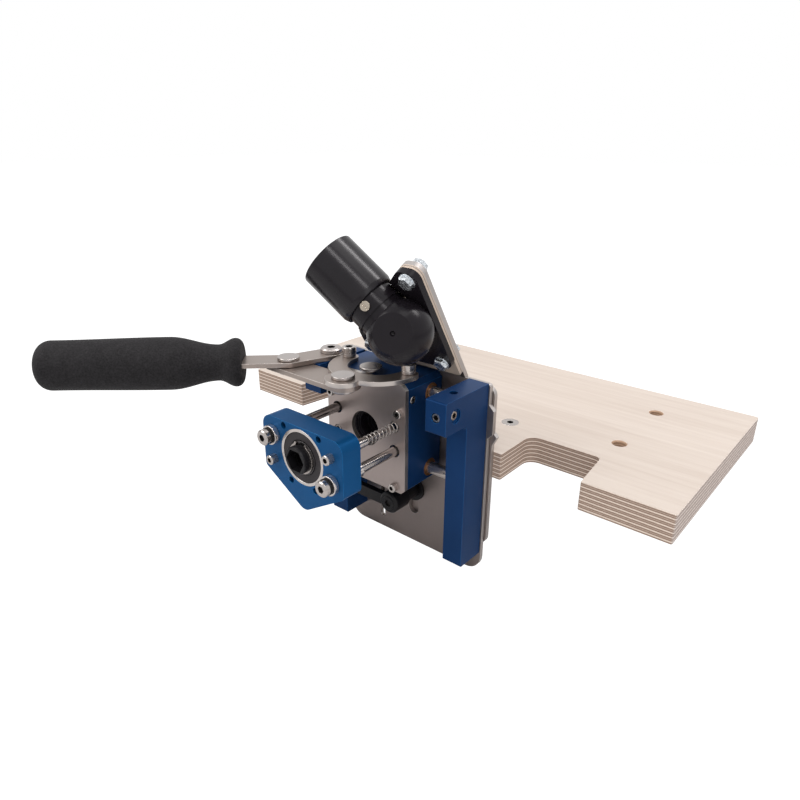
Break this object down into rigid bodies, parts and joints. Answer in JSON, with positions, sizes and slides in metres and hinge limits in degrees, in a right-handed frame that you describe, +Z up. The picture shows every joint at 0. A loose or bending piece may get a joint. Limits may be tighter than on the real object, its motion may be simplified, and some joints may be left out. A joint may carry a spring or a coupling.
{
  "type": "loose tenon mortising jig",
  "caption": "Mortising jig with a plywood work table, a height-adjustable steel frame, a lever-driven cross carriage, a sprung plunge head with a drive bearing, and a dust elbow.",
  "frame": {"origin": "midway across the table, where the rear plate's back face meets the plane of the table's underside", "axes": "X to the right, Y back over the table, Z up; the drive axis runs along Y"},
  "size_m": [0.345, 0.3371, 0.2171],
  "materials": {
    "birch_ply": "sanded birch face, layered edge",
    "layered_board": "light faces with a grey-brown core",
    "tumbled_steel": "tumbled, dull sheen",
    "bright_steel": "ground and polished",
    "screw_steel": "turned, bright",
    "spring_steel": "drawn wire",
    "grey_steel": "brushed",
    "blue_anodised": "satin anodised",
    "bronze": "sintered, dull",
    "black_plastic": "satin, moulded",
    "black_steel": "blackened, satin",
    "black_rubber": "matt",
    "grip_plastic": "fine texture"
  },
  "bodies": {
    "base": {"board": "birch_ply", "board_screws": "screw_steel", "rear_plate": "tumbled_steel", "clamp_stud": "bright_steel", "clamp_washer": "bright_steel", "guide_pin": "bright_steel"},
    "clamp_handle": {"clamp_lever": "black_steel", "clamp_screw": "black_steel"},
    "frame": {"front_sheet": "tumbled_steel", "bracket_left": "blue_anodised", "bracket_right": "blue_anodised", "bracket_screws": "screw_steel", "cross_rods": "bright_steel", "stop_screws": "screw_steel", "lock_screws": "screw_steel", "lever_pivot_bolt": "screw_steel", "hood_panel": "layered_board", "hood_flange": "black_plastic", "flange_washers": "screw_steel", "flange_bolts": "screw_steel", "flange_nuts": "screw_steel", "dust_elbow": "black_plastic", "neck_screw": "screw_steel"},
    "cuff": {"hose_cuff": "black_plastic"},
    "carriage": {"carriage_block": "blue_anodised", "carriage_plate": "grey_steel", "plate_screws": "screw_steel", "cross_bushes": "bronze", "guide_bush": "black_steel", "side_screw": "screw_steel", "plunge_rods": "grey_steel", "rod_end_screws": "screw_steel", "o_rings": "black_rubber", "horseshoe_plate": "grey_steel", "shoe_collars": "screw_steel", "shoe_screws": "screw_steel", "centre_bolt": "screw_steel", "lobe_rivet": "screw_steel"},
    "plunge_head": {"shield_plate": "blue_anodised", "slide_bushes": "bright_steel", "bearing_outer_ring": "bright_steel", "bearing_seals": "black_rubber", "bearing_balls": "bright_steel", "spring_sleeves": "bright_steel", "spring_screws": "screw_steel", "return_spring_right": "spring_steel", "return_spring_left": "spring_steel"},
    "spindle": {"bearing_inner_ring": "bright_steel", "drive_sleeve": "black_steel", "circlip": "spring_steel"},
    "lever": {"lever_bar": "grey_steel", "lever_grip": "grip_plastic", "link_rivet": "screw_steel"},
    "link": {"link_bar": "grey_steel"}
  },
  "joints": [
    {"name": "height_slide", "type": "slide", "parent": "base", "child": "frame", "axis": [0, 0, 1], "range_m": [-0.005, 0.016]},
    {"name": "clamp_turn", "type": "hinge", "parent": "base", "child": "clamp_handle", "pos_m": [0.0015, -0.0193, -0.026], "axis": [0, 1, 0], "range_deg": [-100, 5]},
    {"name": "cuff_turn", "type": "hinge", "parent": "frame", "child": "cuff", "pos_m": [-0.00331, -0.05929, 0.12465], "axis": [-0.7628, -0.1825, 0.6204], "continuous": true},
    {"name": "carriage_slide", "type": "slide", "parent": "frame", "child": "carriage", "axis": [1, 0, 0], "range_m": [0, 0.019]},
    {"name": "plunge_slide", "type": "slide", "parent": "carriage", "child": "plunge_head", "axis": [0, 1, 0], "range_m": [0, 0.03], "stiffness_N_per_m": 400, "springref_m": -0.012, "deforming": ["return_spring_right", "return_spring_left"]},
    {"name": "spindle_turn", "type": "hinge", "parent": "plunge_head", "child": "spindle", "pos_m": [-0.0095, -0.0901, 0.028], "axis": [0, 1, 0], "continuous": true},
    {"name": "lever_swing", "type": "hinge", "parent": "frame", "child": "lever", "pos_m": [-0.049, -0.0313, 0.064], "axis": [0, 0, 1], "range_deg": [0, 37.3]},
    {"name": "link_turn", "type": "hinge", "parent": "lever", "child": "link", "pos_m": [-0.0585, -0.05944, 0.064], "axis": [0, 0, 1], "range_deg": [-37.3, 0]}
  ],
  "couplings": [
    {"joint": "carriage_slide", "follows": "lever_swing", "m_per_rad": 0.029168},
    {"joint": "link_turn", "follows": "lever_swing", "ratio": -1}
  ]
}
